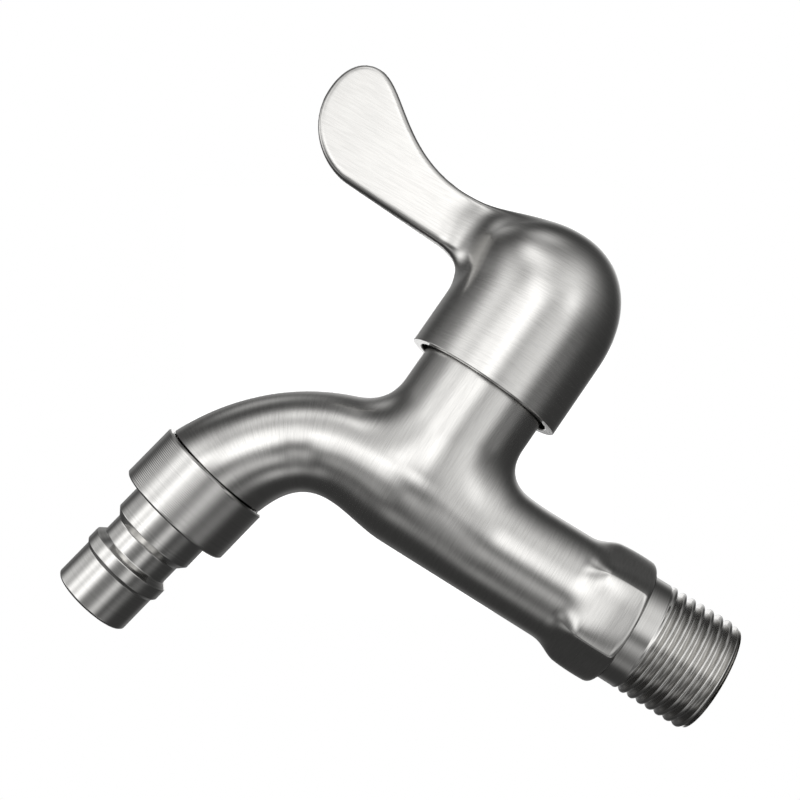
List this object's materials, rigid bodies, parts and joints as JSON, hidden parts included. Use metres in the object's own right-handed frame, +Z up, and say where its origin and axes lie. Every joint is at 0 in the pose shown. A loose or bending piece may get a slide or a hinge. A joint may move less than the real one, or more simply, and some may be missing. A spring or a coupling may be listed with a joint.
{
  "type": "bib tap",
  "caption": "Quarter-turn bib tap in satin cast steel: threaded wall inlet, leaning neck with ceramic cartridge, domed lever cap and curved spout with a screwed hose nipple.",
  "frame": {"origin": "On the inlet's axis where its G1/2 thread begins next to the plain shoulder, which is where the wall fitting's face comes to.", "axes": "+X along the inlet towards the wall, out of the thread; +Z up, the neck's side; the spout points towards -X and down; Y = 0 is the plane of symmetry."},
  "size_m": [0.116, 0.031, 0.1145],
  "materials": {
    "cast_steel": "cast, satin brushed",
    "turned_steel": "turned, fine rings",
    "screw_steel": "plain",
    "brass": "machined",
    "rubber": "matt",
    "plastic": "matt",
    "ceramic": "lapped"
  },
  "bodies": {
    "tap": {"tap_body": "cast_steel", "spout_nut": "turned_steel", "nozzle_washer": "rubber", "hose_nipple": "turned_steel", "cartridge_housing": "brass", "housing_gasket": "rubber", "seat_seal": "rubber", "seal_ring": "plastic", "fixed_disc": "ceramic", "thrust_washer": "plastic"},
    "handle": {"handle": "cast_steel", "set_screw": "screw_steel", "spindle": "brass", "spindle_clip": "screw_steel", "upper_spindle_seal": "rubber", "lower_spindle_seal": "rubber", "moving_disc": "ceramic"}
  },
  "joints": [
    {"name": "handle_turn", "type": "hinge", "parent": "tap", "child": "handle", "pos_m": [-0.0494, 0, 0], "axis": [0.0523, 0, 0.9986], "range_deg": [0, 90]}
  ]
}
